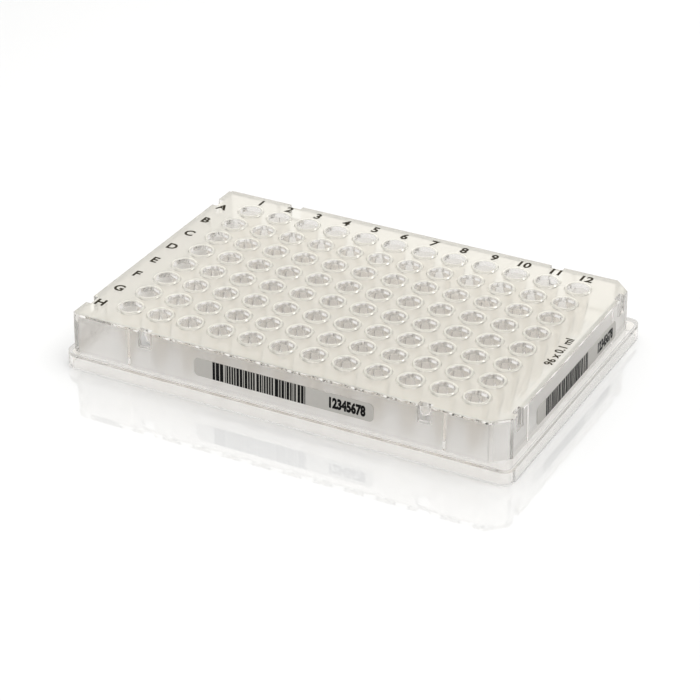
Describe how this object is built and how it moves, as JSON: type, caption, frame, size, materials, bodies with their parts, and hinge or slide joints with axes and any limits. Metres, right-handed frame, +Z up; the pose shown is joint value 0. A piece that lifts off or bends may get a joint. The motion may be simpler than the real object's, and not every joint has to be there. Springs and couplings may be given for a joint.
{
  "type": "well plate",
  "caption": "Full-skirted reaction plate: a grid of raised-rim conical wells in a flat deck, with cut corners, windows in the walls and bar-code labels.",
  "frame": {"origin": "centre of the footprint, on the plane the plate stands on", "axes": "+X along the numbered columns, +Y towards lettered row A, +Z up out of the wells"},
  "size_m": [0.1278, 0.0854, 0.016],
  "materials": {
    "plate": "clear moulded polypropylene, slightly hazy",
    "label": "grey see-through film label",
    "ink": "printed ink"
  },
  "bodies": {
    "root": {"plate": "plate", "front_label": "label", "side_label": "label"}
  },
  "joints": []
}
